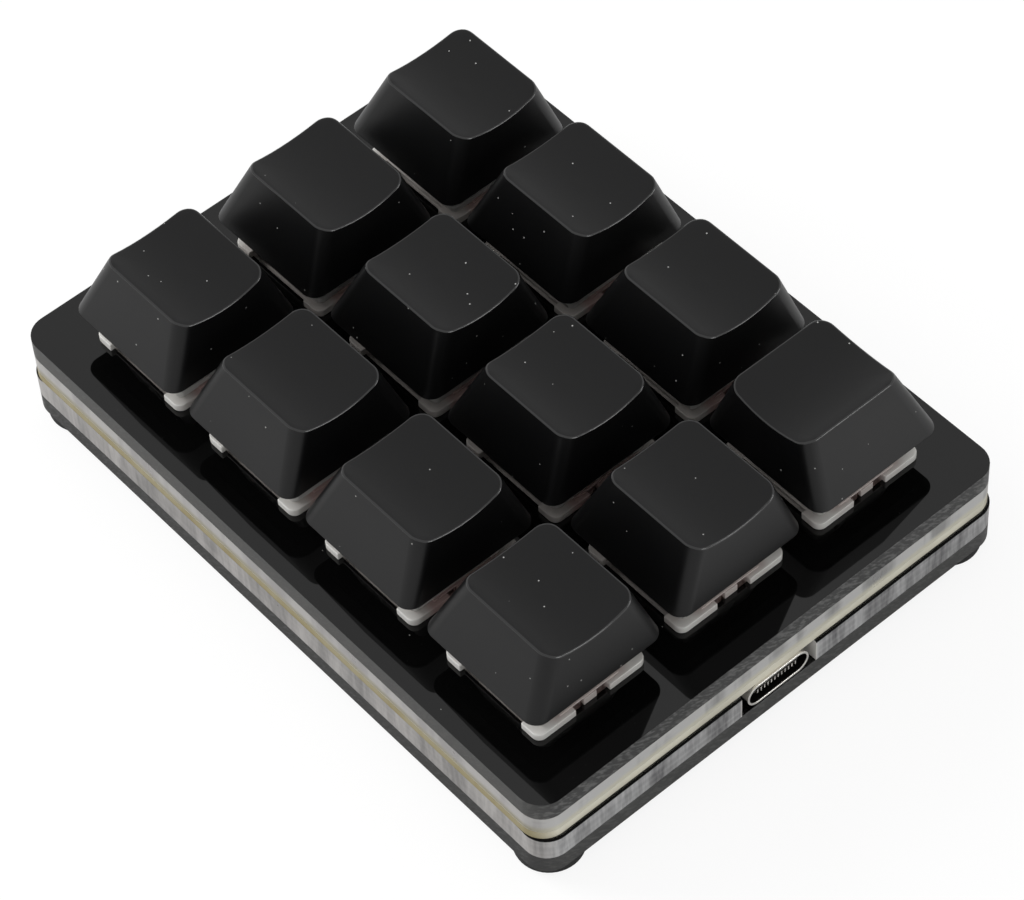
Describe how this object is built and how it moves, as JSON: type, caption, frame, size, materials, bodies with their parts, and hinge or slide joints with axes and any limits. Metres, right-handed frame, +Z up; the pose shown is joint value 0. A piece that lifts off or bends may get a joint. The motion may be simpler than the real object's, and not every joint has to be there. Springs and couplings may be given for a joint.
{
  "type": "macro keypad",
  "caption": "Free-standing macro keypad: sculpted black keys on sprung switches, on a case of stacked black and clear sheets with a USB-C socket at the back.",
  "frame": {"origin": "on the desk, under the middle of the case", "axes": "+Z up, +Y along the long side to the back where the USB-C socket is, +X to the right"},
  "size_m": [0.0668, 0.0892, 0.0273],
  "materials": {
    "black_acrylic": "polished black acrylic sheet, sawn edges",
    "clear_acrylic": "clear acrylic sheet, sawn edges",
    "board": "glass-fibre board, white lacquer, cream cut edge",
    "foot_rubber": "moulded black rubber",
    "keycap_black": "satin moulded plastic",
    "switch_white": "moulded white plastic",
    "switch_milky": "moulded milky plastic",
    "stem_red": "moulded red plastic",
    "spring_steel": "bright drawn wire",
    "contact_metal": "plated spring metal",
    "socket_metal": "nickel-plated drawn steel",
    "socket_insulator": "moulded black plastic",
    "chip_black": "moulded resin",
    "capacitor_tan": "fired ceramic with tinned ends",
    "screw_steel": "blackened steel"
  },
  "bodies": {
    "case": {"top_plate": "black_acrylic", "upper_spacer": "clear_acrylic", "circuit_board": "board", "lower_spacer": "clear_acrylic", "bottom_plate": "black_acrylic", "rubber_feet": "foot_rubber", "case_screws": "screw_steel", "usb_shell": "socket_metal", "usb_tongue": "socket_insulator", "usb_contacts": "contact_metal", "controller_chip": "chip_black", "diodes": "chip_black", "capacitors": "capacitor_tan", "resistors": "chip_black", "switch_bases": "switch_white", "switch_covers": "switch_milky", "switch_contacts": "contact_metal", "spring_r1c1": "spring_steel", "spring_r1c2": "spring_steel", "spring_r1c3": "spring_steel", "spring_r2c1": "spring_steel", "spring_r2c2": "spring_steel", "spring_r2c3": "spring_steel", "spring_r3c1": "spring_steel", "spring_r3c2": "spring_steel", "spring_r3c3": "spring_steel", "spring_r4c1": "spring_steel", "spring_r4c2": "spring_steel", "spring_r4c3": "spring_steel"},
    "key_r1c1": {"keycap_r1c1": "keycap_black", "stem_r1c1": "stem_red"},
    "key_r1c2": {"keycap_r1c2": "keycap_black", "stem_r1c2": "stem_red"},
    "key_r1c3": {"keycap_r1c3": "keycap_black", "stem_r1c3": "stem_red"},
    "key_r2c1": {"keycap_r2c1": "keycap_black", "stem_r2c1": "stem_red"},
    "key_r2c2": {"keycap_r2c2": "keycap_black", "stem_r2c2": "stem_red"},
    "key_r2c3": {"keycap_r2c3": "keycap_black", "stem_r2c3": "stem_red"},
    "key_r3c1": {"keycap_r3c1": "keycap_black", "stem_r3c1": "stem_red"},
    "key_r3c2": {"keycap_r3c2": "keycap_black", "stem_r3c2": "stem_red"},
    "key_r3c3": {"keycap_r3c3": "keycap_black", "stem_r3c3": "stem_red"},
    "key_r4c1": {"keycap_r4c1": "keycap_black", "stem_r4c1": "stem_red"},
    "key_r4c2": {"keycap_r4c2": "keycap_black", "stem_r4c2": "stem_red"},
    "key_r4c3": {"keycap_r4c3": "keycap_black", "stem_r4c3": "stem_red"}
  },
  "joints": [
    {"name": "press_r1c1", "type": "slide", "parent": "case", "child": "key_r1c1", "axis": [0, 0, -1], "range_m": [0, 0.004], "stiffness_N_per_m": 75, "springref_m": -0.004, "deforming": ["spring_r1c1"]},
    {"name": "press_r1c2", "type": "slide", "parent": "case", "child": "key_r1c2", "axis": [0, 0, -1], "range_m": [0, 0.004], "stiffness_N_per_m": 75, "springref_m": -0.004, "deforming": ["spring_r1c2"]},
    {"name": "press_r1c3", "type": "slide", "parent": "case", "child": "key_r1c3", "axis": [0, 0, -1], "range_m": [0, 0.004], "stiffness_N_per_m": 75, "springref_m": -0.004, "deforming": ["spring_r1c3"]},
    {"name": "press_r2c1", "type": "slide", "parent": "case", "child": "key_r2c1", "axis": [0, 0, -1], "range_m": [0, 0.004], "stiffness_N_per_m": 75, "springref_m": -0.004, "deforming": ["spring_r2c1"]},
    {"name": "press_r2c2", "type": "slide", "parent": "case", "child": "key_r2c2", "axis": [0, 0, -1], "range_m": [0, 0.004], "stiffness_N_per_m": 75, "springref_m": -0.004, "deforming": ["spring_r2c2"]},
    {"name": "press_r2c3", "type": "slide", "parent": "case", "child": "key_r2c3", "axis": [0, 0, -1], "range_m": [0, 0.004], "stiffness_N_per_m": 75, "springref_m": -0.004, "deforming": ["spring_r2c3"]},
    {"name": "press_r3c1", "type": "slide", "parent": "case", "child": "key_r3c1", "axis": [0, 0, -1], "range_m": [0, 0.004], "stiffness_N_per_m": 75, "springref_m": -0.004, "deforming": ["spring_r3c1"]},
    {"name": "press_r3c2", "type": "slide", "parent": "case", "child": "key_r3c2", "axis": [0, 0, -1], "range_m": [0, 0.004], "stiffness_N_per_m": 75, "springref_m": -0.004, "deforming": ["spring_r3c2"]},
    {"name": "press_r3c3", "type": "slide", "parent": "case", "child": "key_r3c3", "axis": [0, 0, -1], "range_m": [0, 0.004], "stiffness_N_per_m": 75, "springref_m": -0.004, "deforming": ["spring_r3c3"]},
    {"name": "press_r4c1", "type": "slide", "parent": "case", "child": "key_r4c1", "axis": [0, 0, -1], "range_m": [0, 0.004], "stiffness_N_per_m": 75, "springref_m": -0.004, "deforming": ["spring_r4c1"]},
    {"name": "press_r4c2", "type": "slide", "parent": "case", "child": "key_r4c2", "axis": [0, 0, -1], "range_m": [0, 0.004], "stiffness_N_per_m": 75, "springref_m": -0.004, "deforming": ["spring_r4c2"]},
    {"name": "press_r4c3", "type": "slide", "parent": "case", "child": "key_r4c3", "axis": [0, 0, -1], "range_m": [0, 0.004], "stiffness_N_per_m": 75, "springref_m": -0.004, "deforming": ["spring_r4c3"]}
  ]
}
